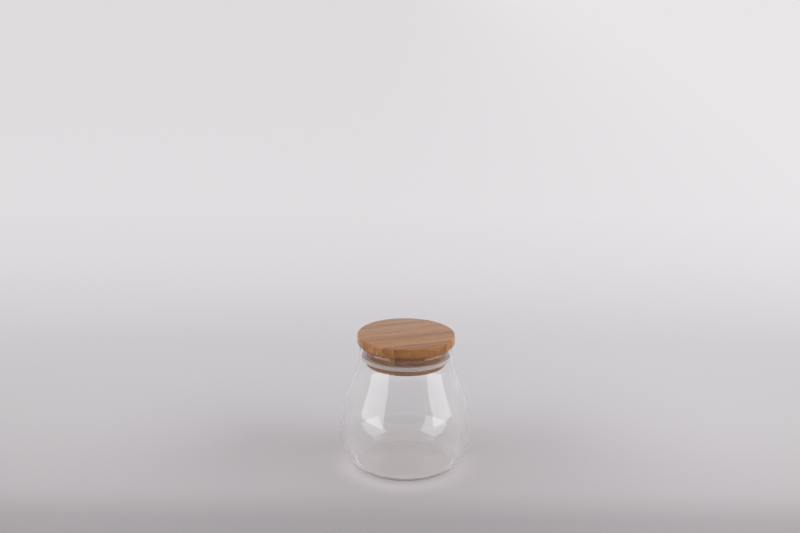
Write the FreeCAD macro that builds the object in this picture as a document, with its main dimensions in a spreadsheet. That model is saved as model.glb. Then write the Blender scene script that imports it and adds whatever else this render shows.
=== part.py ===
"""Round-bellied storage jar of clear glass, shut by a turned bamboo stopper lid with a silicone lip seal.

Millimetres, +Z up. The origin is the middle of the foot, on the surface that the jar stands on, and every
piece is turned about the Z axis.

  glass_jar    one blown glass body: a flat foot ring round a shallow push-up, a full belly low down, a long
               shoulder that sweeps up into the neck, and a flame-polished lip that leans in a little
  bamboo_lid   one piece turned from a laminated bamboo board: a disc that rests on the lip of the jar, and a
               plug with a groove round it
  seal_ring    a silicone ring: a band seated in the groove, with one lip that bends up against the glass
"""

import FreeCAD
import Part

import math
import os

import Sketcher

V = FreeCAD.Vector

# alias, value in millimetres or degrees, what it is
SIZES = [
    ("glass_height", 98.0, "foot to the top of the glass lip"),
    ("glass_wall", 1.6, "wall of the blown body"),
    ("floor_thickness", 3.2, "foot to the inner floor"),
    ("belly_diameter", 100.0, "outside, at the widest"),
    ("belly_height", 25.3, "height of the widest place"),
    ("foot_inset", 16.9, "belly's widest to the outer edge of the flat foot ring"),
    ("foot_ring_width", 7.2, "flat foot ring"),
    ("heel_radius", 9.4, "outside round from the foot to the belly"),
    ("inner_heel_radius", 9.0, "inside round from the floor to the belly"),
    ("pushup_depth", 0.9, "rise of the underside at its middle"),
    ("neck_diameter", 70.0, "outside of the neck"),
    ("neck_drop", 3.95, "top of the lip to where the sweep ends in the neck"),
    ("neck_sweep_radius", 58.0, "hollow curve from the shoulder into the neck"),
    ("lip_drop", 2.8, "top of the lip to where the lip begins to lean in"),
    ("lip_bend_radius", 5.0, "outside curve of that bend"),
    ("lip_lean", 18.0, "degrees that the lip leans in"),
    ("lid_overhang", 1.75, "neck to the edge of the lid's disc"),
    ("lid_thickness", 6.95, "disc of the lid"),
    ("lid_seat_gap", 0.05, "glass lip to the disc"),
    ("lid_top_round", 1.1, "upper edge of the disc"),
    ("lid_bottom_round", 0.8, "lower edge of the disc"),
    ("plug_clearance", 3.25, "bore of the neck to the plug"),
    ("plug_depth", 15.95, "disc's underside to the plug's end"),
    ("plug_end_round", 0.8, "lower edge of the plug"),
    ("groove_depth", 1.5, "seal groove into the plug"),
    ("groove_height", 3.6, "seal groove, from side to side"),
    ("groove_above_end", 4.0, "plug's end to the groove"),
    ("seal_gap", 0.03, "seal to the groove and to the glass"),
    ("seal_stand_out", 0.4, "how far the seal's band stands out of the groove"),
    ("seal_lip_thickness", 0.8, "the lip that bears on the glass"),
    ("seal_tip_level", 3.8, "groove's lower side to the tip of the lip"),
    ("seal_heel_level", 1.2, "groove's lower side to the lowest upright face of the lip"),
    ("seal_heel_round", 0.6, "outer corner below that face"),
    ("seal_hollow_level", 1.5, "groove's lower side to the bottom of the hollow behind the lip"),
]

# Places that several pieces share, as formulas of the sizes
BELLY = "sizes.belly_diameter / 2"
FOOT = f"({BELLY} - sizes.foot_inset)"
NECK = "sizes.neck_diameter / 2"
NECK_BORE = f"({NECK} - sizes.glass_wall)"
NECK_LEVEL = "(sizes.glass_height - sizes.neck_drop)"
PLUG = f"({NECK_BORE} - sizes.plug_clearance)"
DISC_LEVEL = "(sizes.glass_height + sizes.lid_seat_gap)"
PLUG_END = f"({DISC_LEVEL} - sizes.plug_depth)"
GROOVE_FLOOR = f"({PLUG} - sizes.groove_depth)"
GROOVE_LEVEL = f"({PLUG_END} + sizes.groove_above_end)"
SEAL_TIP = f"({GROOVE_LEVEL} + sizes.seal_tip_level)"
SEAL_OUTSIDE = (
    f"({NECK} + sizes.neck_sweep_radius - sqrt((sizes.neck_sweep_radius + sizes.glass_wall)^2"
    f" - max(0; {NECK_LEVEL} - {SEAL_TIP})^2) - sizes.seal_gap)"
)

doc = FreeCAD.newDocument("storage_jar")
sheet = doc.addObject("Spreadsheet::Sheet", "sizes")
for row, (alias, value, note) in enumerate(SIZES, start=1):
    sheet.set(f"A{row}", alias)
    sheet.set(f"B{row}", str(value))
    sheet.set(f"C{row}", note)
    sheet.setAlias(f"B{row}", alias)
doc.recompute()


def worth(formula):
    """What a formula of the sizes comes to, for laying a sketch out where its constraints will hold it."""
    return float(sheet.evalExpression(formula))


def on_arc(centre, radius, degrees):
    turn = math.radians(degrees)
    return centre[0] + radius * math.cos(turn), centre[1] + radius * math.sin(turn)


def origin_item(body, role):
    """A plane or axis of a body's own origin."""
    return next(item for item in body.Origin.OriginFeatures if item.Role == role)


class Outline:
    """A closed outline in a body's XZ plane: a chain of lines and arcs, walked in order and constrained.

    Sketch x is the distance from the jar's axis, and sketch y is the height.
    """

    ORIGIN = (-1, 1)
    FOOT_LINE = -1
    JAR_AXIS = -2

    def __init__(self, body, name):
        self.body = body
        self.sketch = body.newObject("Sketcher::SketchObject", name)
        self.sketch.AttachmentSupport = [(origin_item(body, "XZ_Plane"), "")]
        self.sketch.MapMode = "FlatFace"
        self.pieces = {}

    def line(self, name, start, end):
        geometry = Part.LineSegment(V(*start, 0), V(*end, 0))
        self.pieces[name] = (self.sketch.addGeometry(geometry), 1, 2)

    def arc(self, name, centre, radius, begin, end):
        """An arc walked from the angle begin to the angle end, in degrees, either way round."""
        low, high = sorted((math.radians(begin), math.radians(end)))
        circle = Part.Circle(V(*centre, 0), V(0, 0, 1), radius)
        index = self.sketch.addGeometry(Part.ArcOfCircle(circle, low, high))
        self.pieces[name] = (index, 1, 2) if begin < end else (index, 2, 1)

    def index(self, name):
        return self.pieces[name][0]

    def start(self, name):
        return self.pieces[name][0], self.pieces[name][1]

    def end(self, name):
        return self.pieces[name][0], self.pieces[name][2]

    def centre(self, name):
        return self.pieces[name][0], 3

    def hold(self, kind, *arguments):
        return self.sketch.addConstraint(Sketcher.Constraint(kind, *arguments))

    def join(self, corners):
        """Closes the chain: each piece named in corners starts at a corner, and every other one is tangent."""
        names = list(self.pieces)
        for before, after in zip(names, names[1:] + names[:1]):
            kind = "Coincident" if after in corners else "Tangent"
            self.hold(kind, *self.end(before), *self.start(after))

    def square(self, *names):
        """Keeps lines upright or level, whichever they were drawn."""
        for name in names:
            line = self.sketch.Geometry[self.index(name)]
            upright = math.isclose(line.StartPoint.x, line.EndPoint.x, abs_tol=1e-7)
            self.hold("Vertical" if upright else "Horizontal", self.index(name))

    def dimension(self, label, formula, kind, *arguments):
        """A dimension that stays bound to a formula of the sizes."""
        value = worth(formula)
        index = self.hold(kind, *arguments, math.radians(value) if kind == "Angle" else value)
        self.sketch.renameConstraint(index, label)
        self.sketch.setExpression(f"Constraints.{label}", formula)

    def out(self, label, formula, point):
        """Distance of a point from the jar's axis."""
        self.dimension(label, formula, "DistanceX", *self.ORIGIN, *point)

    def level(self, label, formula, point):
        """Height of a point."""
        self.dimension(label, formula, "DistanceY", *self.ORIGIN, *point)

    def radius(self, label, formula, name):
        self.dimension(label, formula, "Radius", self.index(name))

    def turn(self, name, kind="Revolution"):
        """Turns the outline about the jar's axis, as a solid or as a cut."""
        doc.recompute()
        feature = self.body.newObject(f"PartDesign::{kind}", name)
        feature.Profile = self.sketch
        feature.ReferenceAxis = (self.sketch, ["V_Axis"])
        feature.Angle = 360.0
        self.body.Tip = feature
        doc.recompute()


def lay_out_foot(outline):
    """The outside of the glass from the belly down to the push-up."""
    belly, height = worth(BELLY), worth("sizes.belly_height")
    foot, heel = worth(FOOT), worth("sizes.heel_radius")
    ring, rise = foot - worth("sizes.foot_ring_width"), worth("sizes.pushup_depth")
    across, up = belly - foot, height - heel
    lower = (across**2 + up**2 - heel**2) / (2 * (across - heel))
    heel_turn = math.degrees(math.atan2(heel - height, foot - (belly - lower)))
    pushup = (ring**2 + rise**2) / (2 * rise)
    pushup_turn = math.degrees(math.asin(ring / pushup))

    outline.arc("outer_belly", (belly - lower, height), lower, 0, heel_turn)
    outline.arc("outer_heel", (foot, heel), heel, heel_turn, -90)
    outline.line("foot_ring", (foot, 0), (ring, 0))
    outline.arc("pushup", (0, rise - pushup), pushup, 90 - pushup_turn, 90)


def lay_out_inner_floor(outline):
    """The inside of the glass from the axis up to the belly's widest place."""
    belly, height = worth(BELLY), worth("sizes.belly_height")
    foot, heel = worth(FOOT), worth("sizes.heel_radius")
    wall, floor = worth("sizes.glass_wall"), worth("sizes.floor_thickness")
    inner_heel = worth("sizes.inner_heel_radius")
    across, up = belly - foot, height - heel
    lower = (across**2 + up**2 - heel**2) / (2 * (across - heel))
    reach, drop = lower - wall - inner_heel, height - floor - inner_heel
    inner_foot = belly - lower + math.sqrt(reach**2 - drop**2)
    inner_turn = -math.degrees(math.asin(drop / reach))

    outline.line("axis", (0, worth("sizes.pushup_depth")), (0, floor))
    outline.line("floor", (0, floor), (inner_foot, floor))
    outline.arc("inner_heel", (inner_foot, floor + inner_heel), inner_heel, -90, inner_turn)
    outline.arc("inner_belly", (belly - lower, height), lower - wall, inner_turn, 0)


def lay_out_shoulder_and_lip(outline):
    """Up the inside from the belly, over the lip, and down the outside to the belly again."""
    belly, height, wall = worth(BELLY), worth("sizes.belly_height"), worth("sizes.glass_wall")
    neck, neck_level = worth(NECK), worth(NECK_LEVEL)
    sweep, bend, tilt = worth("sizes.neck_sweep_radius"), worth("sizes.lip_bend_radius"), worth("sizes.lip_lean")
    top = worth("sizes.glass_height")
    lip = top - worth("sizes.lip_drop")
    inward, rise = belly - neck, neck_level - height
    shoulder = (inward**2 + rise**2) / (2 * inward) - sweep
    lean = math.degrees(math.asin(rise / (shoulder + sweep)))
    shoulder_centre, sweep_centre = (belly - shoulder, height), (neck + sweep, neck_level)
    bend_centre = (neck - bend, lip)
    middle = on_arc(bend_centre, bend - wall / 2, tilt)
    rim_level = top - wall / 2
    rim_centre = (middle[0] - (rim_level - middle[1]) * math.tan(math.radians(tilt)), rim_level)

    outline.arc("inner_shoulder", shoulder_centre, shoulder - wall, 0, lean)
    outline.arc("inner_sweep", sweep_centre, sweep + wall, 180 + lean, 180)
    outline.line("inner_neck", (neck - wall, neck_level), (neck - wall, lip))
    outline.arc("inner_bend", bend_centre, bend - wall, 0, tilt)
    outline.line("inner_lip", on_arc(bend_centre, bend - wall, tilt), on_arc(rim_centre, -wall / 2, tilt))
    outline.arc("rim", rim_centre, wall / 2, 180 + tilt, tilt)
    outline.line("outer_lip", on_arc(rim_centre, wall / 2, tilt), on_arc(bend_centre, bend, tilt))
    outline.arc("outer_bend", bend_centre, bend, tilt, 0)
    outline.line("outer_neck", (neck, lip), (neck, neck_level))
    outline.arc("outer_sweep", sweep_centre, sweep, 180, 180 + lean)
    outline.arc("outer_shoulder", shoulder_centre, shoulder, lean, 0)


def make_glass_jar():
    """Blown glass: one wall all the way up, round a thicker floor."""
    body = doc.addObject("PartDesign::Body", "glass_jar")
    outline = Outline(body, "jar_outline")
    lay_out_inner_floor(outline)
    lay_out_shoulder_and_lip(outline)
    lay_out_foot(outline)
    outline.join(corners=("axis", "floor", "pushup"))

    outline.hold("PointOnObject", *outline.start("axis"), outline.JAR_AXIS)
    outline.hold("PointOnObject", *outline.end("axis"), outline.JAR_AXIS)
    outline.hold("PointOnObject", *outline.centre("pushup"), outline.JAR_AXIS)
    outline.hold("PointOnObject", *outline.start("foot_ring"), outline.FOOT_LINE)
    outline.hold("PointOnObject", *outline.end("foot_ring"), outline.FOOT_LINE)
    outline.square("floor", "outer_neck", "inner_neck")
    outline.hold("Parallel", outline.index("inner_lip"), outline.index("outer_lip"))
    outline.hold("Horizontal", *outline.centre("outer_belly"), *outline.start("outer_belly"))
    for bend in ("belly", "shoulder", "sweep", "bend"):
        outline.hold("Coincident", *outline.centre(f"inner_{bend}"), *outline.centre(f"outer_{bend}"))

    outline.out("belly_outside", BELLY, outline.start("outer_belly"))
    outline.out("belly_inside", f"{BELLY} - sizes.glass_wall", outline.end("inner_belly"))
    outline.level("belly_level", "sizes.belly_height", outline.start("outer_belly"))
    outline.out("foot_outside", FOOT, outline.start("foot_ring"))
    outline.out("foot_inside", f"{FOOT} - sizes.foot_ring_width", outline.end("foot_ring"))
    outline.level("pushup_rise", "sizes.pushup_depth", outline.start("axis"))
    outline.level("floor_level", "sizes.floor_thickness", outline.start("floor"))
    outline.radius("heel_round", "sizes.heel_radius", "outer_heel")
    outline.radius("heel_round_inside", "sizes.inner_heel_radius", "inner_heel")
    outline.radius("sweep_round", "sizes.neck_sweep_radius", "outer_sweep")
    outline.radius("bend_round", "sizes.lip_bend_radius", "outer_bend")
    outline.out("neck_outside", NECK, outline.end("outer_neck"))
    outline.level("neck_level", NECK_LEVEL, outline.end("outer_neck"))
    outline.level("lip_level", "sizes.glass_height - sizes.lip_drop", outline.start("outer_neck"))
    outline.level("rim_level", "sizes.glass_height - sizes.glass_wall / 2", outline.centre("rim"))
    lines = outline.index("outer_neck"), outline.index("outer_lip")
    outline.dimension("lean_in", "sizes.lip_lean * 1 deg", "Angle", *lines)
    outline.turn("jar_turned")
    return body


def edges_at(shape, radius, level):
    """Names of a turned shape's circular edges that have this radius, at this level."""
    return [
        f"Edge{number}"
        for number, edge in enumerate(shape.Edges, start=1)
        if isinstance(edge.Curve, Part.Circle)
        and math.isclose(edge.Curve.Radius, radius, abs_tol=1e-6)
        and math.isclose(edge.Curve.Center.z, level, abs_tol=1e-6)
    ]


def round_edge(body, name, radius, level, alias):
    """Rounds the edge that has this radius at this level, by the size under an alias."""
    last = body.Tip
    fillet = body.newObject("PartDesign::Fillet", name)
    fillet.Base = (last, edges_at(last.Shape, worth(radius), worth(level)))
    fillet.setExpression("Radius", f"sizes.{alias}")
    body.Tip = fillet
    doc.recompute()


def make_bamboo_lid():
    """Turned from one laminated board: the disc and the plug, then the groove, then the eased edges."""
    body = doc.addObject("PartDesign::Body", "bamboo_lid")
    disc = f"({NECK} + sizes.lid_overhang)"
    top = f"({DISC_LEVEL} + sizes.lid_thickness)"
    disc_edge, plug_side = worth(disc), worth(PLUG)
    disc_top, disc_level, plug_end = worth(top), worth(DISC_LEVEL), worth(PLUG_END)

    outline = Outline(body, "lid_outline")
    outline.line("axis", (0, plug_end), (0, disc_top))
    outline.line("top", (0, disc_top), (disc_edge, disc_top))
    outline.line("edge", (disc_edge, disc_top), (disc_edge, disc_level))
    outline.line("underside", (disc_edge, disc_level), (plug_side, disc_level))
    outline.line("side", (plug_side, disc_level), (plug_side, plug_end))
    outline.line("end", (plug_side, plug_end), (0, plug_end))
    outline.join(corners=tuple(outline.pieces))
    outline.square("top", "edge", "underside", "side", "end")
    outline.hold("PointOnObject", *outline.start("axis"), outline.JAR_AXIS)
    outline.hold("PointOnObject", *outline.end("axis"), outline.JAR_AXIS)
    outline.out("disc_edge", disc, outline.start("edge"))
    outline.level("disc_top", top, outline.start("edge"))
    outline.level("disc_underside", DISC_LEVEL, outline.start("underside"))
    outline.out("plug_side", PLUG, outline.start("side"))
    outline.level("plug_end", PLUG_END, outline.start("end"))
    outline.turn("lid_turned")

    floor, side = worth(GROOVE_FLOOR), worth(f"{PLUG} + sizes.groove_depth")
    below, above = worth(GROOVE_LEVEL), worth(f"{GROOVE_LEVEL} + sizes.groove_height")
    groove = Outline(body, "groove_outline")
    groove.line("lower", (floor, below), (side, below))
    groove.line("mouth", (side, below), (side, above))
    groove.line("upper", (side, above), (floor, above))
    groove.line("floor", (floor, above), (floor, below))
    groove.join(corners=tuple(groove.pieces))
    groove.square(*groove.pieces)
    groove.out("groove_floor", GROOVE_FLOOR, groove.start("lower"))
    groove.level("groove_level", GROOVE_LEVEL, groove.start("lower"))
    groove.out("groove_mouth", f"{PLUG} + sizes.groove_depth", groove.end("lower"))
    groove.level("groove_upper", f"{GROOVE_LEVEL} + sizes.groove_height", groove.start("upper"))
    groove.turn("groove_cut", kind="Groove")

    round_edge(body, "top_edge_eased", disc, top, "lid_top_round")
    round_edge(body, "lower_edge_eased", disc, DISC_LEVEL, "lid_bottom_round")
    round_edge(body, "plug_end_eased", PLUG, PLUG_END, "plug_end_round")
    return body


def make_seal_ring():
    """Moulded silicone: a square band, and a lip that leaves its foot and stands up against the glass."""
    body = doc.addObject("PartDesign::Body", "seal_ring")
    band_inside = f"{GROOVE_FLOOR} + sizes.seal_gap"
    band_outside = f"({PLUG} + sizes.seal_stand_out)"
    foot_level = f"{GROOVE_LEVEL} + sizes.seal_gap"
    band_level = f"{GROOVE_LEVEL} + sizes.groove_height - sizes.seal_gap"
    heel_level = f"{GROOVE_LEVEL} + sizes.seal_heel_level"
    hollow_level = f"{GROOVE_LEVEL} + sizes.seal_hollow_level"
    inside, outside, contact = worth(band_inside), worth(band_outside), worth(SEAL_OUTSIDE)
    foot, band_top, tip_level = worth(foot_level), worth(band_level), worth(SEAL_TIP)
    thickness, heel = worth("sizes.seal_lip_thickness"), worth("sizes.seal_heel_round")
    tip = thickness / 2
    hollow = (contact - thickness - outside) / 2
    heel_centre = (contact - heel, worth(heel_level))
    hollow_centre = (outside + hollow, worth(hollow_level) + hollow)
    run, climb = heel_centre[0] - outside, heel_centre[1] - foot
    slope = math.degrees(math.atan2(climb, run) - math.asin(heel / math.hypot(run, climb)))

    outline = Outline(body, "seal_outline")
    outline.line("foot", (inside, foot), (outside, foot))
    outline.line("underside", (outside, foot), on_arc(heel_centre, heel, slope - 90))
    outline.arc("heel", heel_centre, heel, slope - 90, 0)
    outline.line("contact", (contact, heel_centre[1]), (contact, tip_level - tip))
    outline.arc("tip", (contact - tip, tip_level - tip), tip, 0, 180)
    outline.line("lip_inside", (contact - thickness, tip_level - tip), (contact - thickness, hollow_centre[1]))
    outline.arc("hollow", hollow_centre, hollow, 0, -180)
    outline.line("band_side", (outside, hollow_centre[1]), (outside, band_top))
    outline.line("band_top", (outside, band_top), (inside, band_top))
    outline.line("band_inside", (inside, band_top), (inside, foot))
    outline.join(corners=("foot", "underside", "band_top", "band_inside"))
    outline.square("foot", "contact", "lip_inside", "band_side", "band_top", "band_inside")
    outline.out("band_inside", band_inside, outline.start("foot"))
    outline.level("band_foot", foot_level, outline.start("foot"))
    outline.out("band_outside", band_outside, outline.end("foot"))
    outline.level("band_upper", band_level, outline.start("band_top"))
    outline.hold("Vertical", *outline.end("foot"), *outline.end("band_side"))
    outline.radius("heel_round", "sizes.seal_heel_round", "heel")
    outline.level("heel_level", heel_level, outline.centre("heel"))
    outline.out("contact_face", SEAL_OUTSIDE, outline.start("contact"))
    outline.radius("tip_round", "sizes.seal_lip_thickness / 2", "tip")
    outline.level("tip_level", f"{SEAL_TIP} - sizes.seal_lip_thickness / 2", outline.centre("tip"))
    outline.level(
        "hollow_level",
        f"{hollow_level} + ({SEAL_OUTSIDE} - sizes.seal_lip_thickness - {band_outside}) / 2",
        outline.centre("hollow"),
    )
    outline.turn("seal_turned")
    return body


def check(bodies):
    """Stops if any object failed, or if a body isn't one sound solid."""
    doc.recompute()
    for item in doc.Objects:
        if "Invalid" in item.State or "Error" in item.State:
            raise RuntimeError(f"{item.Name} failed: {item.State}")
    for body in bodies:
        shape = body.Shape
        if shape.isNull() or not shape.isValid() or len(shape.Solids) != 1:
            raise RuntimeError(f"{body.Label} isn't one sound solid")


bodies = [make_glass_jar(), make_bamboo_lid(), make_seal_ring()]
check(bodies)
os.makedirs("parts", exist_ok=True)
for body in bodies:
    body.Placement = FreeCAD.Placement()
    body.Shape.exportStep(f"parts/{body.Label}.step")
    box = body.Shape.BoundBox
    print(f"{body.Label}: {body.Shape.Volume / 1000:.2f} ml of solid, z {box.ZMin:.2f} to {box.ZMax:.2f},", end=" ")
    print(f"{box.XLength:.2f} across, {len(body.Shape.Faces)} faces")
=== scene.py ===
# %% [markdown]
# # A storage jar of clear glass with a bamboo lid
#
# The jar stands about 105 mm high: blown glass with a full belly, a lid turned from laminated bamboo, and
# a milky silicone ring that seals the lid in the neck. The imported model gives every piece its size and
# place. This lesson dresses it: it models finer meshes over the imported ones, gives them their finishes,
# and sets up a pale table with two tall lamps.

# %% load the frame
import math

import bpy
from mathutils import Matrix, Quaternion, Vector


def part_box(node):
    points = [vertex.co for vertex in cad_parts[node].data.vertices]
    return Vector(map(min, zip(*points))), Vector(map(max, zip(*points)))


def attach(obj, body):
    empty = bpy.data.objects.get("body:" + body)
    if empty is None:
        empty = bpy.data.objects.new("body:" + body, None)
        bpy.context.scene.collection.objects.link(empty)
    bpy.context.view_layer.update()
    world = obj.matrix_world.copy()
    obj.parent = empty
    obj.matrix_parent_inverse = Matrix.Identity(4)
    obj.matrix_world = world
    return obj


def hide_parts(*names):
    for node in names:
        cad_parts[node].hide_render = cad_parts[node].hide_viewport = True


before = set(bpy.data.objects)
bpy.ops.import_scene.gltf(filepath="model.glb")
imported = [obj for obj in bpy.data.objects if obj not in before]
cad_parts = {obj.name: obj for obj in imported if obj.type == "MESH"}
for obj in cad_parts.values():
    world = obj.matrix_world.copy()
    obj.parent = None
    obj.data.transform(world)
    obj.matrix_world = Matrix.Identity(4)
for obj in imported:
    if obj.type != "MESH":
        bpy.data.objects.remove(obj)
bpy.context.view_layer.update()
scene = bpy.context.scene
MM = 0.001
print("packed nodes:", ", ".join(sorted(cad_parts)))

# %% [markdown]
# ## Sizes
#
# Blender works in metres, and the jar is easier to read in millimetres, so sizes are written as
# millimetres times MM. What the frame knows is read from it: the height of the glass, the belly, the disc
# of the lid. What a box can't tell, such as the walls, the curves and the groove, is named here. These
# have the construction's values, apart from the lip and the foot: a gas flame leaves a fuller bead and a
# longer lean than the plain construction has, and the underside is all but flat.

# %% sizes
_, jar_high = (Vector(corner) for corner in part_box("glass_jar"))
lid_low, lid_high = (Vector(corner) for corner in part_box("bamboo_lid"))
_, seal_high = (Vector(corner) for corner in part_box("seal_ring"))

rim_level = jar_high.z
belly_radius = jar_high.x
lid_top = lid_high.z
plug_end = lid_low.z
disc_radius = lid_high.x
seal_radius = seal_high.x
seal_tip_level = seal_high.z

glass_wall = 1.6 * MM
floor_level = 3.2 * MM
belly_level = 25.3 * MM
foot_radius = belly_radius - 16.9 * MM
foot_ring = 7.2 * MM
heel_round = 9.4 * MM
inner_heel_round = 9.0 * MM
pushup_rise = 0.35 * MM
neck_radius = 35.0 * MM
neck_level = rim_level - 3.95 * MM
neck_sweep = 58.0 * MM
lip_level = rim_level - 3.9 * MM
lip_bend = 6.0 * MM
lip_lean = math.radians(20.0)
bead_round = 1.15 * MM
disc_thickness = 6.95 * MM
disc_level = lid_top - disc_thickness
plug_radius = neck_radius - glass_wall - 3.25 * MM
groove_level = plug_end + 4.0 * MM
groove_height = 3.6 * MM
groove_radius = plug_radius - 1.5 * MM
print(f"glass {2000 * belly_radius:.1f} mm across and {1000 * rim_level:.1f} mm high")

# %% [markdown]
# ## Drawing a section by hand
#
# Everything here is turned about one upright axis, so each piece starts as half of its section. A plane
# is merged down to a single vertex, and that vertex is led round the outline: extrude moves it along a
# straight side, and spin leads it round an arc. Last, the whole outline is spun once about the axis. A
# curve object with a Screw modifier would do as well, but the edges would then be where the curve puts
# them, and clear glass shows every uneven edge. Its outline is seen through bent light, so the sides are
# short: a degree or so of turn each.

# %% drawing helpers
AROUND = 288
FINEST_TURN = math.radians(1.25)
SHORTEST_SIDE = 0.12 * MM
LONGEST_SIDE = 1.8 * MM
SAME_POINT = 0.001 * MM
SHARP_CORNER = math.radians(35)


def start_outline(name, radius, level):
    """A new object that is one vertex, in edit mode, with that vertex selected."""
    bpy.ops.object.select_all(action="DESELECT")
    bpy.ops.mesh.primitive_plane_add(size=MM, location=(0, 0, 0))
    piece = bpy.context.object
    piece.name = piece.data.name = name
    bpy.ops.object.mode_set(mode="EDIT")
    bpy.ops.mesh.select_mode(type="VERT")
    bpy.ops.mesh.select_all(action="SELECT")
    bpy.ops.mesh.merge(type="CENTER")
    bpy.ops.transform.translate(value=(radius, 0, level))
    return piece


def tip_of(piece):
    """Where the selected vertex is, as radius and level."""
    piece.update_from_editmode()
    point = next(vertex.co for vertex in piece.data.vertices if vertex.select)
    return point.x, point.z


def line_to(piece, radius, level):
    """Leads the outline straight to a point."""
    at_radius, at_level = tip_of(piece)
    step = (radius - at_radius, 0, level - at_level)
    bpy.ops.mesh.extrude_region_move(TRANSFORM_OT_translate={"value": step})


def arc_about(piece, radius, level, turn):
    """Leads the outline round a centre by an angle, anticlockwise where it is positive."""
    at_radius, at_level = tip_of(piece)
    reach = math.hypot(at_radius - radius, at_level - level)
    side = min(max(FINEST_TURN * reach, SHORTEST_SIDE), LONGEST_SIDE)
    steps = max(3, math.ceil(abs(turn) * reach / side))
    bpy.ops.mesh.spin(steps=steps, angle=turn, center=(radius, 0, level), axis=(0, 1, 0))


def merge_doubles():
    """Merges the points that lie on each other, and leaves the whole mesh selected."""
    bpy.ops.mesh.select_all(action="SELECT")
    bpy.ops.mesh.remove_doubles(threshold=SAME_POINT)
    bpy.ops.mesh.select_all(action="SELECT")


def smooth_and_count(piece):
    """Leaves edit mode, shades the piece smooth but for its sharp corners, and prints its faces."""
    bpy.ops.object.mode_set(mode="OBJECT")
    bpy.ops.object.shade_smooth_by_angle(angle=SHARP_CORNER)
    print(f"{piece.name}: {len(piece.data.polygons)} faces")


def turn_outline(piece):
    """Spins the outline about the upright axis into a closed piece."""
    merge_doubles()
    bpy.ops.mesh.spin(steps=AROUND, angle=2 * math.pi, center=(0, 0, 0), axis=(0, 0, 1))
    merge_doubles()
    bpy.ops.mesh.normals_make_consistent(inside=False)
    smooth_and_count(piece)


def stand_for(piece, node):
    """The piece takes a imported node's place and rides on the jar."""
    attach(piece, "root")
    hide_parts(node)


# %% [markdown]
# ## The glass
#
# The jar is blown: one wall from the heel to the lip round a thicker floor, and a lip that was melted
# round in a flame. Clear glass needs a true inside and outside, because light bends at each of the four
# faces that it crosses. The outline goes up the inside, over the lip, down the outside and under the
# foot. From the heel to the lip every arc starts along the one before it, so the wall has no crease.

# %% arcs of the glass
belly_across = belly_radius - foot_radius
belly_up = belly_level - heel_round
belly_round = (belly_across**2 + belly_up**2 - heel_round**2) / (2 * (belly_across - heel_round))
belly_centre = belly_radius - belly_round
heel_turn = math.atan2(belly_level - heel_round, foot_radius - belly_centre)
neck_inward = belly_radius - neck_radius
neck_rise = neck_level - belly_level
shoulder_round = (neck_inward**2 + neck_rise**2) / (2 * neck_inward) - neck_sweep
shoulder_lean = math.asin(neck_rise / (shoulder_round + neck_sweep))
shoulder_centre = belly_radius - shoulder_round
sweep_centre = neck_radius + neck_sweep
bend_centre = neck_radius - lip_bend
inner_reach = belly_round - glass_wall - inner_heel_round
inner_drop = belly_level - floor_level - inner_heel_round
inner_foot = belly_centre + math.sqrt(inner_reach**2 - inner_drop**2)
inner_turn = math.asin(inner_drop / inner_reach)
print(f"shoulder radius {1000 * shoulder_round:.0f} mm, lean {math.degrees(shoulder_lean):.0f} degrees")


# %% the glass piece
def model_glass():
    piece = start_outline("jar_glass", 0, floor_level)
    line_to(piece, inner_foot, floor_level)
    arc_about(piece, inner_foot, floor_level + inner_heel_round, math.pi / 2 - inner_turn)
    arc_about(piece, belly_centre, belly_level, inner_turn)
    arc_about(piece, shoulder_centre, belly_level, shoulder_lean)
    arc_about(piece, sweep_centre, neck_level, -shoulder_lean)
    line_to(piece, neck_radius - glass_wall, lip_level)
    arc_about(piece, bend_centre, lip_level, lip_lean)

    middle_bend = lip_bend - glass_wall / 2
    middle_radius = bend_centre + middle_bend * math.cos(lip_lean)
    middle_level = lip_level + middle_bend * math.sin(lip_lean)
    bead_level = rim_level - bead_round
    bead_radius = middle_radius - (bead_level - middle_level) * math.tan(lip_lean)
    half_bite = math.asin(glass_wall / 2 / bead_round)
    start = lip_lean + math.pi + (math.pi / 2 - half_bite)
    line_to(piece, bead_radius + bead_round * math.cos(start), bead_level + bead_round * math.sin(start))
    arc_about(piece, bead_radius, bead_level, 2 * half_bite - 2 * math.pi)
    outer_radius = bend_centre + lip_bend * math.cos(lip_lean)
    line_to(piece, outer_radius, lip_level + lip_bend * math.sin(lip_lean))
    arc_about(piece, bend_centre, lip_level, -lip_lean)
    line_to(piece, neck_radius, neck_level)

    arc_about(piece, sweep_centre, neck_level, shoulder_lean)
    arc_about(piece, shoulder_centre, belly_level, -shoulder_lean)
    arc_about(piece, belly_centre, belly_level, -heel_turn)
    arc_about(piece, foot_radius, heel_round, heel_turn - math.pi / 2)
    ring_inside = foot_radius - foot_ring
    line_to(piece, ring_inside, 0)
    pushup_round = (ring_inside**2 + pushup_rise**2) / (2 * pushup_rise)
    arc_about(piece, 0, pushup_rise - pushup_round, math.asin(ring_inside / pushup_round))
    turn_outline(piece)
    return piece


jar_glass = model_glass()
stand_for(jar_glass, "glass_jar")

# %% [markdown]
# ## The lid
#
# The lid is turned from a board glued up of bamboo strips: a disc that covers the mouth, and a plug under
# it with a groove for the seal. A lathe takes wood away, and modelling can go the same way: a cylinder is
# the disc, its underside is inset and drawn down into the plug, the groove is a ring drawn in and out
# again, and bevels ease the edges that a hand would meet.

# %% picking and drawing down
ON_THE_RING = 0.05 * MM


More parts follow.
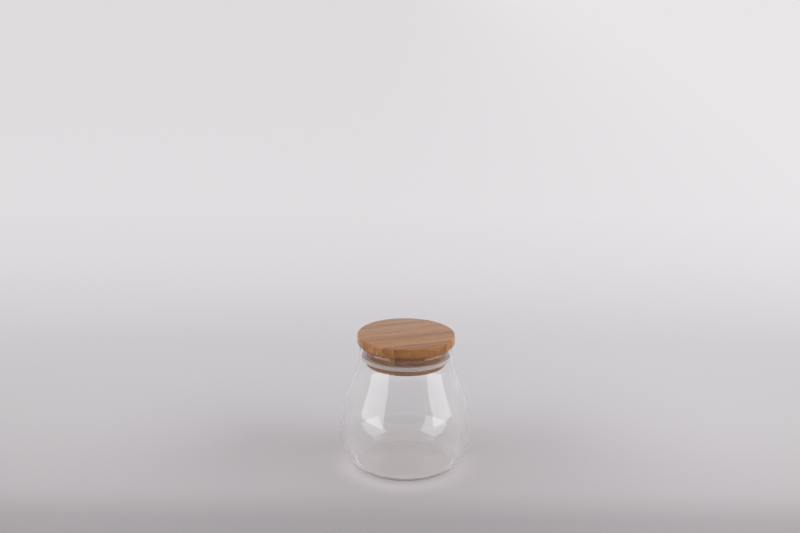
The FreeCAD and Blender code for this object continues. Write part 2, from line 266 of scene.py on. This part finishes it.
def pick(piece, kind, wanted):
    """Selects, in edit mode, the wanted faces, told by middle and normal, or edges, told by their ends."""
    bpy.ops.mesh.select_mode(type="FACE" if kind == "faces" else "EDGE")
    bpy.ops.mesh.select_all(action="DESELECT")
    bpy.ops.object.mode_set(mode="OBJECT")
    mesh = piece.data
    if kind == "faces":
        for face in mesh.polygons:
            face.select = wanted(face.center, face.normal)
    else:
        for edge in mesh.edges:
            one, two = (mesh.vertices[index].co for index in edge.vertices)
            edge.select = wanted(one, two)
    bpy.ops.object.mode_set(mode="EDIT")


def draw_down(depth):
    """Extrudes the selected face straight down."""
    bpy.ops.mesh.extrude_region_move(TRANSFORM_OT_translate={"value": (0, 0, -depth)})


def draw_across(ratio, level):
    """Extrudes the selected round face in place and makes the new one wider or narrower."""
    bpy.ops.mesh.extrude_region_move(TRANSFORM_OT_translate={"value": (0, 0, 0)})
    bpy.ops.transform.resize(value=(ratio, ratio, 1), center_override=(0, 0, level))


def on_ring(radius, level):
    """Tells whether an edge lies on the circle of that radius at that level."""

    def near(end):
        aside = abs(math.hypot(end.x, end.y) - radius)
        return abs(end.z - level) < ON_THE_RING and aside < ON_THE_RING

    return lambda one, two: near(one) and near(two)


# %% the lid piece
lid_top_round = 1.1 * MM
lid_bottom_round = 0.8 * MM
plug_end_round = 0.8 * MM
groove_corner_round = 0.15 * MM
ROUND_STEPS = 5


def model_lid():
    bpy.ops.object.select_all(action="DESELECT")
    bpy.ops.mesh.primitive_cylinder_add(
        vertices=AROUND,
        radius=disc_radius,
        depth=disc_thickness,
        location=(0, 0, lid_top - disc_thickness / 2),
    )
    piece = bpy.context.object
    piece.name = piece.data.name = "lid_bamboo"
    bpy.ops.object.transform_apply(location=True)
    bpy.ops.object.mode_set(mode="EDIT")
    pick(piece, "faces", lambda middle, normal: normal.z < -0.9)
    bpy.ops.mesh.inset(thickness=disc_radius - plug_radius)
    groove_top = groove_level + groove_height
    narrow = groove_radius / plug_radius
    draw_down(disc_level - groove_top)
    draw_across(narrow, groove_top)
    draw_down(groove_height)
    draw_across(1 / narrow, groove_level)
    draw_down(groove_level - plug_end)

    eased = (
        (disc_radius, lid_top, lid_top_round),
        (disc_radius, disc_level, lid_bottom_round),
        (plug_radius, plug_end, plug_end_round),
        (plug_radius, groove_top, groove_corner_round),
        (plug_radius, groove_level, groove_corner_round),
    )
    for radius, level, offset in eased:
        pick(piece, "edges", on_ring(radius, level))
        bpy.ops.mesh.bevel(offset=offset, segments=ROUND_STEPS, profile=0.5, affect="EDGES")
    smooth_and_count(piece)
    return piece


lid_bamboo = model_lid()
stand_for(lid_bamboo, "bamboo_lid")

# %% [markdown]
# ## The seal
#
# The silicone ring is moulded: a square band that sits in the groove, and one soft lip that leaves its
# foot and stands up against the glass. Its section is small but has real corners, so it is drawn round
# like the glass. Behind the lip the top is a shallow dish, because soft silicone sags back on the band
# when it is pressed in.

# %% the seal piece
seal_gap = 0.03 * MM
band_beyond_plug = 0.4 * MM
seal_lip_thickness = 0.8 * MM
seal_heel_round = 0.6 * MM
seal_heel_rise = 1.2 * MM
dish_drop = 0.12 * MM


def model_seal():
    band_inside = groove_radius + seal_gap
    band_outside = plug_radius + band_beyond_plug
    foot_level = groove_level + seal_gap
    band_top = groove_level + groove_height - seal_gap
    tip = seal_lip_thickness / 2
    heel = seal_heel_round
    heel_radius = seal_radius - heel
    heel_level = groove_level + seal_heel_rise
    run = heel_radius - band_outside
    climb = heel_level - foot_level
    slope = math.atan2(climb, run) - math.asin(heel / math.hypot(run, climb))

    piece = start_outline("seal_silicone", band_inside, foot_level)
    line_to(piece, band_outside, foot_level)
    line_to(piece, heel_radius + heel * math.sin(slope), heel_level - heel * math.cos(slope))
    arc_about(piece, heel_radius, heel_level, math.pi / 2 - slope)
    line_to(piece, seal_radius, seal_tip_level - tip)
    arc_about(piece, seal_radius - tip, seal_tip_level - tip, math.pi)
    line_to(piece, band_outside, seal_tip_level - dish_drop)
    line_to(piece, band_outside, band_top)
    line_to(piece, band_inside, band_top)
    line_to(piece, band_inside, foot_level)
    turn_outline(piece)
    return piece


seal_silicone = model_seal()
stand_for(seal_silicone, "seal_ring")

# %% [markdown]
# ## Writing a finish as sums
#
# A finish is a tree of shader nodes, and most of it is arithmetic: a strip of bamboo is a distance
# divided by a width. Node by node that is hard to read, so one small class wraps a socket and lets it
# take part in Python sums, each of which adds its Math node. Everything that isn't a sum comes from
# Finish.node. Places on a piece come in millimetres, so the widths in a finish are millimetres too.

# %% sums on sockets
class Wire:
    """A socket in a finish that can stand in sums."""

    def __init__(self, finish, socket):
        self.finish = finish
        self.socket = socket

    def math(self, operation, *values):
        return self.finish.node("ShaderNodeMath", {"operation": operation}, dict(enumerate(values)))["Value"]

    def __add__(self, other):
        return self.math("ADD", self, other)

    __radd__ = __add__

    def __mul__(self, other):
        return self.math("MULTIPLY", self, other)

    __rmul__ = __mul__

    def __sub__(self, other):
        return self.math("SUBTRACT", self, other)

    def __rsub__(self, other):
        return self.math("SUBTRACT", other, self)

    def __truediv__(self, other):
        return self.math("DIVIDE", self, other)

    def __rtruediv__(self, other):
        return self.math("DIVIDE", other, self)

    def __pow__(self, other):
        return self.math("POWER", self, other)

    def size(self):
        return self.math("ABSOLUTE", self)

    def most(self, other):
        return self.math("MAXIMUM", self, other)

    def least(self, other):
        return self.math("MINIMUM", self, other)

    def floor(self):
        return self.math("FLOOR", self)

    def part(self):
        return self.math("FRACT", self)

    def under(self, limit, blur):
        """One where this is well under a limit, nothing where it is well over, and a soft change between."""
        return self.finish.spread(self, limit - blur, limit + blur, 1, 0)


# %% a tree of nodes
class Finish:
    """The tree of a material or of the world. Its node method takes a type, settings, and values or wires."""

    def __init__(self, block):
        self.block = block
        self.block.use_nodes = True
        self.tree = self.block.node_tree
        self.tree.nodes.clear()

    def node(self, kind, settings=None, inputs=None):
        node = self.tree.nodes.new(kind)
        for name, value in (settings or {}).items():
            if name == "stops":
                self.set_stops(node.color_ramp, value)
            else:
                setattr(node, name, value)
        for name, value in (inputs or {}).items():
            self.feed(self.inlet(node, name), value)
        return {output.name: Wire(self, output) for output in node.outputs if output.enabled}

    def inlet(self, node, name):
        """An input by its number or, among those in use, by its name."""
        if isinstance(name, int):
            return node.inputs[name]
        return next(socket for socket in node.inputs if socket.enabled and socket.name == name)

    def feed(self, socket, value):
        """Links a wire to a socket, or sets the socket to a value; a colour needs no fourth number."""
        if isinstance(value, Wire):
            self.tree.links.new(value.socket, socket)
        elif socket.type == "RGBA":
            socket.default_value = (*value, 1)
        else:
            socket.default_value = value

    def set_stops(self, ramp, stops):
        """Places a ramp's stops, each a place and a colour."""
        while len(ramp.elements) < len(stops):
            ramp.elements.new(1.0)
        for element, (place, colour) in zip(ramp.elements, stops):
            element.position = place
            element.color = (*colour, 1)

    def spread(self, wire, low, high, to_low=0, to_high=1):
        """A smooth change from to_low to to_high as the wire goes from low to high."""
        settings = {"interpolation_type": "SMOOTHSTEP"}
        inputs = {"Value": wire, "From Min": low, "From Max": high, "To Min": to_low, "To Max": to_high}
        return self.node("ShaderNodeMapRange", settings, inputs)["Result"]

    def place(self, turn=0.0):
        """The place on the piece in millimetres, turned about the upright axis: a vector, and its parts."""
        spot = self.node("ShaderNodeTexCoord")["Object"]
        inputs = {"Vector": spot, "Rotation": (0, 0, turn), "Scale": (1 / MM, 1 / MM, 1 / MM)}
        vector = self.node("ShaderNodeMapping", None, inputs)["Vector"]
        parts = self.node("ShaderNodeSeparateXYZ", None, {"Vector": vector})
        return vector, parts["X"], parts["Y"], parts["Z"]

    def stretch(self, vector, scale):
        """A vector with each part multiplied by its own number."""
        inputs = {0: vector, 1: scale}
        return self.node("ShaderNodeVectorMath", {"operation": "MULTIPLY"}, inputs)["Vector"]

    def scale(self, vector, level):
        """A vector or a colour made that many times as large."""
        inputs = {0: vector, "Scale": level}
        return self.node("ShaderNodeVectorMath", {"operation": "SCALE"}, inputs)["Vector"]

    def noise(self, vector, scale, detail=2.0, roughness=0.5):
        inputs = {"Vector": vector, "Scale": scale, "Detail": detail, "Roughness": roughness}
        return self.node("ShaderNodeTexNoise", None, inputs)["Fac"]

    def blend(self, factor, one, two):
        """A colour part of the way from one to two."""
        inputs = {"Factor": factor, "A": one, "B": two}
        return self.node("ShaderNodeMix", {"data_type": "RGBA"}, inputs)["Result"]

    def mix(self, factor, one, two):
        """A shader part of the way from one to two."""
        return self.node("ShaderNodeMixShader", None, {0: factor, 1: one, 2: two})["Shader"]

    def ramp(self, factor, stops):
        """The colour at a place on a ramp, whose stops are each a place and a colour."""
        return self.node("ShaderNodeValToRGB", {"stops": stops}, {"Fac": factor})["Color"]

    def bump(self, height, depth):
        """A normal that follows a height of nothing to one, worth that many metres."""
        return self.node("ShaderNodeBump", None, {"Height": height, "Distance": depth})["Normal"]

    def principled(self, **inputs):
        """The Principled shader, with underscores for the spaces in its sockets' names."""
        named = {name.replace("_", " "): value for name, value in inputs.items()}
        return self.node("ShaderNodeBsdfPrincipled", None, named)["BSDF"]

    def finish_with(self, shader, output="ShaderNodeOutputMaterial"):
        self.node(output, None, {"Surface": shader})
        return self.block


# %% new finishes, and dressing a piece
def new_finish(name):
    return Finish(bpy.data.materials.new(name))


def dress(piece, material):
    piece.data.materials.clear()
    piece.data.materials.append(material)
    print(f"{piece.name} wears {material.name}: {len(material.node_tree.nodes)} nodes")


# %% [markdown]
# ## Clear glass
#
# Borosilicate glass bends light a little less than window glass, and it is almost without colour. A trace
# of haze from handling varies its tint and its roughness a very little. The skin has no bump: blown glass
# is smooth, and even a faint one draws dark lines where the wall is seen edge on. Light that goes through
# the jar to the table and the lid passes straight, a little tinted, because bent light would reach them
# only as grains. The number for the bending of light stays on its own socket.

# %% clear glass
def clear_glass():
    finish = new_finish("clear_glass")
    spot, _, _, _ = finish.place()
    haze = finish.noise(spot, 0.09, 3.0)
    glass = finish.principled(
        Base_Color=finish.blend(haze, (0.992, 0.995, 0.993), (0.998, 0.998, 0.998)),
        Roughness=finish.spread(haze, 0.45, 0.75, 0.0, 0.006),
        IOR=1.46,
        Transmission_Weight=1.0,
    )
    clear = finish.node("ShaderNodeBsdfTransparent", None, {"Color": (0.985, 0.972, 0.969)})["BSDF"]
    path = finish.node("ShaderNodeLightPath")
    passing = path["Is Shadow Ray"].most(path["Is Diffuse Ray"])
    return finish.finish_with(finish.mix(passing, glass, clear))


dress(jar_glass, clear_glass())

# %% [markdown]
# ## Laminated bamboo
#
# The board is glued from strips five to seven millimetres wide that stand on edge and all run one way.
# Each strip has its own tone, and is darker and denser towards the side that was the outside of the cane.
# Fine dark bundles of fibre run along it: they show as streaks on top and as specks where the turned edge
# cuts across them. All of it is one solid pattern in space, so the top, the edge and the plug agree. The
# plug is a tone darker: painted shade under the overhanging disc. The strips at the front are darker too,
# partly their own tone and partly painted shade on the edge that faces the dim camera side.

# %% laminated bamboo
grain_turn = math.radians(20)
strip_width = 6.2
first_joint = 30.8
# Darker front strips: partly their own tone, partly painted shade on the edge that faces the camera.
strips_and_front_shade_tone = -0.16
# Painted shade on the plug, under the overhanging disc.
plug_shade_tone = -0.17
bamboo_tones = (
    (0.0, (0.100, 0.030, 0.006)),
    (0.3, (0.190, 0.068, 0.016)),
    (0.6, (0.314, 0.139, 0.045)),
    (1.0, (0.444, 0.232, 0.094)),
)
# How often each pattern changes in a millimetre: along the strips, across them and up.
broad_grain = (0.012, 0.35, 0.25)
streak_grain = (0.02, 1.3, 1.1)
bundle_grain = (0.05, 1.3, 1.15)


def laminated_bamboo():
    finish = new_finish("laminated_bamboo")
    spot, _, across, up = finish.place(-grain_turn)

    strips = (across + first_joint) / strip_width
    strip = strips.floor()
    side = strips.part()
    tone = finish.node("ShaderNodeTexWhiteNoise", {"noise_dimensions": "1D"}, {"W": strip + 0.5})["Value"]
    joint = finish.spread((side - 0.5).size(), 0.46, 0.49)

    broad = finish.noise(finish.stretch(spot, broad_grain), 1.0, 3.0)
    streaks = finish.noise(finish.stretch(spot, streak_grain), 1.0, 4.0, 0.6)
    bundles = finish.node(
        "ShaderNodeTexVoronoi",
        {"feature": "F1"},
        {"Vector": finish.stretch(spot, bundle_grain), "Scale": 1.0, "Randomness": 1.0},
    )["Distance"]
    speck = bundles.under(0.28, 0.14) * (side * 0.7 + 0.3)

    dark_strip = (across + first_joint - strip_width / 2).size().under(strip_width / 2, 0.2)
    # The strip at the very front is darker: painted shade on the edge that faces the dim camera side.
    front_strip_shade = across.under(-first_joint, 0.2)
    dark_strips_and_front_shade = (dark_strip + front_strip_shade * 1.2) * strips_and_front_shade_tone
    # Painted shade: the plug below the disc is darker.
    plug_shade = up.under(disc_level / MM - 0.5, 0.3) * plug_shade_tone
    figure = broad * 0.6 + streaks * 0.45 + speck * -0.3 + joint * -0.25
    light = figure + tone * 0.22 + side * -0.12 + dark_strips_and_front_shade + plug_shade + 0.02
    relief = streaks * 0.6 + speck * -0.4 + joint * 0.5
    wood = finish.principled(
        Base_Color=finish.ramp(light, bamboo_tones),
        Roughness=0.2 + streaks * 0.12,
        Normal=finish.bump(relief, 0.04 * MM),
        IOR=1.45,
        Specular_IOR_Level=0.45,
    )
    return finish.finish_with(wood)


dress(lid_bamboo, laminated_bamboo())

# %% [markdown]
# ## Milky silicone
#
# Clear silicone that is moulded without a pigment comes out milky: light goes in and scatters, and a little
# of the wood behind shows through. A short scattering distance does that, under a satin skin with faint
# cloud. The colour is darker and warmer than milky silicone: painted shade from the disc above, and a
# painted warmth of the wood behind.

# %% milky silicone
def milky_silicone():
    finish = new_finish("milky_silicone")
    spot, _, _, _ = finish.place()
    cloud = finish.noise(spot, 0.25, 3.0)
    dust = finish.noise(spot, 1.8, 2.0)
    silicone = finish.principled(
        # Darker and warmer than milky silicone: painted shade from the disc and painted warmth of the wood
        # behind.
        Base_Color=finish.blend(cloud, (0.47, 0.405, 0.37), (0.54, 0.475, 0.445)),
        Roughness=finish.spread(dust, 0.3, 0.7, 0.34, 0.5),
        Normal=finish.bump(dust, 0.02 * MM),
        IOR=1.41,
        Transmission_Weight=0.2,
        Subsurface_Weight=0.5,
        Subsurface_Radius=(1.0, 0.9, 0.8),
        Subsurface_Scale=1.5 * MM,
    )
    return finish.finish_with(silicone)


dress(seal_silicone, milky_silicone())

# %% [markdown]
# ## The table
#
# The table is a sheet of matt board, far larger than the jar, that is paler towards the back: painted
# light, as a sweep of board is where its own lamp lights it. Close to the jar it takes the lamps' light
# like any board; farther off it glows evenly by itself, for what is seen only, so that it throws no more
# light on the jar. A glass jar leaves a faint dark disc under its foot and gathers a soft ring of light
# round it. The light that passes straight through this one can't, so both are painted on the board: a
# painted shadow under the foot and a painted ring of light. The board also has painted shade close to the
# jar and behind it, and painted light to the right. It is a stage: it isn't part of the jar.

# %% table and sweep
table_reach = 9.0


def model_table():
    bpy.ops.object.select_all(action="DESELECT")
    bpy.ops.mesh.primitive_circle_add(vertices=96, radius=table_reach, fill_type="NGON", location=(0, 0, 0))
    table = bpy.context.object
    table.name = table.data.name = "table"
    return table


# %% tones of the board
# From the front edge of the ramp, nearest the camera, to far behind the jar: paler to the back, painted
# light.
board_tones_and_painted_light = (
    (0.00, (0.346, 0.329, 0.336)),
    (0.07, (0.372, 0.352, 0.361)),
    (0.13, (0.466, 0.445, 0.456)),
    (0.19, (0.497, 0.476, 0.488)),
    (0.27, (0.546, 0.529, 0.542)),
    (0.34, (0.578, 0.564, 0.578)),
    (0.41, (0.614, 0.600, 0.617)),
    (0.48, (0.675, 0.661, 0.675)),
    (0.545, (0.722, 0.707, 0.722)),
    (0.62, (0.755, 0.738, 0.752)),
    (0.90, (0.745, 0.725, 0.738)),
)
ramp_before_jar = 140
ramp_to_middle = 600
outlying_tone = (0.72, 0.70, 0.712)
# Painted shadow under the foot of the jar: its tone, and the radius in millimetres where it ends.
foot_shadow_tone = (0.430, 0.398, 0.397)
foot_shadow_edge = 34
# Where the painted ring of light round the foot starts, is full and ends, in millimetres.
light_ring_starts, light_ring_full, light_ring_ends = 36, 44, 52


def board_colour(finish, spot, across, back, away):
    """Paler to the back as painted light, plain far in front and aside, and a painted shadow under the foot.
    """
    paper = finish.noise(spot, 0.4, 3.0)
    deep = back.most(-ramp_before_jar)
    depth = (deep + ramp_before_jar) / (deep + (ramp_before_jar + ramp_to_middle))
    # The ramp paints the board paler towards the back: painted light.
    board = finish.ramp(depth + (paper - 0.5) * 0.006, board_tones_and_painted_light)
    in_front = finish.spread(0 - back, 130, 500)
    aside = finish.spread(across.size() - back * 0.4, 330, 800)
    board = finish.blend(in_front.most(aside), board, outlying_tone)
    # A painted shadow under the foot of the jar.
    return finish.blend(away.under(foot_shadow_edge, 2.5) * 0.75, board, foot_shadow_tone)


def painted_board_light(finish, across, back, away):
    """Painted light on the board: shade near and behind the jar, more light to the right and round the foot.
    """
    # Painted shade close to the jar, fading out farther off.
    shade_near_jar = finish.spread(away, 40, 320, 0.93, 1.0)
    # Painted light: the board is brighter towards the right.
    side = finish.spread(across, -150, 900, 0.985, 1.09)
    shade = finish.spread(back, 0, 35) * away.under(75, 30) * -0.06
    # A painted ring of light round the foot, weaker behind the jar and stronger to the left.
    ring = finish.spread(away, light_ring_starts, light_ring_full) * away.under(light_ring_ends, 9)
    glint = ring * (back.under(0, 25) * 0.8 + 0.2)
    return shade_near_jar * side + shade + glint * finish.spread(across, -60, 60, 0.19, 0.13)


# %% the board
def pale_board():
    finish = new_finish("pale_board")
    spot, across, back, _ = finish.place()
    away = (across * across + back * back) ** 0.5
    colour = board_colour(finish, spot, across, back, away)
    bright = finish.scale(colour, painted_board_light(finish, across, back, away))
    path = finish.node("ShaderNodeLightPath")
    seen = path["Is Camera Ray"] + path["Is Glossy Ray"] + path["Is Transmission Ray"]
    far = finish.spread(away, 180, 500)
    matt = finish.node("ShaderNodeBsdfDiffuse", None, {"Color": bright})["BSDF"]
    glow = finish.node("ShaderNodeEmission", None, {"Color": bright, "Strength": 1.0})["Emission"]
    return finish.finish_with(finish.mix(far * seen.least(1.0), matt, glow))


table = model_table()
dress(table, pale_board())

# %% [markdown]
# ## Light
#
# Two tall soft boxes stand to the left and right of the jar, towards the camera, and a pale world fills
# the rest. The boxes are what the glass shows: each is seen once in the front of the shoulder and once,
# upside down, in the back of the belly. Two fills beside them light the edge of the lid but stay out of
# the glass, and a weak disc of light above lifts the top of the lid.

# %% soft boxes
box_distance = 1.0
box_aim = Vector((0, 0, 0.05))


def hang_lamp(name, shape, place):
    lamp = bpy.data.lights.new(name, "AREA")
    lamp.shape = shape
    holder = bpy.data.objects.new(name, lamp)
    scene.collection.objects.link(holder)
    holder.location = place
    return lamp, holder


def soft_box(name, azimuth, low, high, half_width, radiance, shows=True):
    """A tall lamp that faces the jar. Its angles are in degrees, and azimuth zero is the camera's side."""
    turn = math.radians(azimuth)
    out = Vector((math.sin(turn), -math.cos(turn), 0))
    bottom = box_distance * math.tan(math.radians(low))
    top = box_distance * math.tan(math.radians(high))
    width = 2 * box_distance * math.tan(math.radians(half_width))
    middle = Vector((0, 0, (bottom + top) / 2))
    lamp, holder = hang_lamp(name, "RECTANGLE", box_aim + out * box_distance + middle)
    lamp.size = width
    lamp.size_y = top - bottom
    lamp.energy = radiance * math.pi * width * (top - bottom)
    holder.rotation_euler = (math.pi / 2, 0, turn)
    holder.visible_glossy = shows
    holder.visible_transmission = shows
    print(f"{name}: {width:.2f} by {top - bottom:.2f} m, {lamp.energy:.1f} W")


soft_box("soft_box_left", azimuth=-62, low=-5, high=50, half_width=23, radiance=1.9)
soft_box("soft_box_right", azimuth=69.5, low=-4, high=50, half_width=20, radiance=1.85)
soft_box("side_fill_left", azimuth=-76, low=0, high=50, half_width=25, radiance=1.2, shows=False)
soft_box("side_fill_right", azimuth=76, low=0, high=50, half_width=25, radiance=2.3, shows=False)


def overhead_box(width, radiance):
    """A round lamp above the jar and a little behind it, which lights straight down."""
    lamp, _ = hang_lamp("soft_box_above", "DISK", box_aim + Vector((0, 0.1, 1.3)))
    lamp.size = width
    lamp.energy = radiance * math.pi * math.pi * width**2 / 4
    print(f"{lamp.name}: {width:.2f} m across, {lamp.energy:.2f} W")


overhead_box(width=1.0, radiance=0.06)


# %% the world
def studio_world():
    """Pale behind the jar and above it, dim on the camera's side, and plain pale where the camera sees it."""
    world = bpy.data.worlds.new("studio")
    finish = Finish(world)
    toward = finish.node("ShaderNodeTexCoord")["Generated"]
    parts = finish.node("ShaderNodeSeparateXYZ", None, {"Vector": toward})
    behind = finish.spread(parts["Y"], -0.7, 0.25, 0, 1)
    above = finish.spread(parts["Z"], 0.45, 0.95, 0, 1)
    near = finish.spread(parts["Z"], 0.06, 0.10, 0, 1)
    front = finish.blend(near, (0.62, 0.60, 0.61), (0.165, 0.162, 0.17))
    walls = finish.blend(behind, front, (0.80, 0.78, 0.80))
    room = finish.blend(above, walls, (0.55, 0.54, 0.55))
    seen = finish.node("ShaderNodeLightPath")["Is Camera Ray"]
    colour = finish.blend(seen, room, (0.75, 0.73, 0.745))
    light = finish.node("ShaderNodeBackground", None, {"Color": colour, "Strength": 1.0})["Background"]
    return finish.finish_with(light, "ShaderNodeOutputWorld")


scene.world = studio_world()
print(f"{scene.world.name}: {len(scene.world.node_tree.nodes)} nodes")

# %% [markdown]
# ## The camera
#
# A short telephoto lens, a little above the jar and looking down on it, with a slight roll, as a camera
# held by hand has. A ray through the middle of the jar crosses four faces, but near the edges of the
# glass it turns back and forth in the wall, so rays may bounce many times. With fewer bounces those edges
# end in black.

# %% camera
camera = bpy.data.cameras.new("camera")
camera.sensor_width = 36
camera.lens = 54
degrees_down = 16.066
degrees_of_roll = 0.499
camera_holder = bpy.data.objects.new("camera", camera)
scene.collection.objects.link(camera_holder)
camera_holder.location = (-5.05 * MM, -854.4 * MM, 403.4 * MM)
tip_up = Quaternion((1, 0, 0), math.radians(90 - degrees_down))
roll = Quaternion((0, 0, 1), math.radians(degrees_of_roll))
camera_holder.rotation_euler = (tip_up @ roll).to_euler()
scene.camera = camera_holder
print(f"camera {camera_holder.location.length:.2f} m from the foot of the jar, {camera.lens:.0f} mm lens")

scene.view_settings.view_transform = "Standard"
scene.cycles.max_bounces = 32
scene.cycles.transmission_bounces = 32
scene.cycles.glossy_bounces = 16
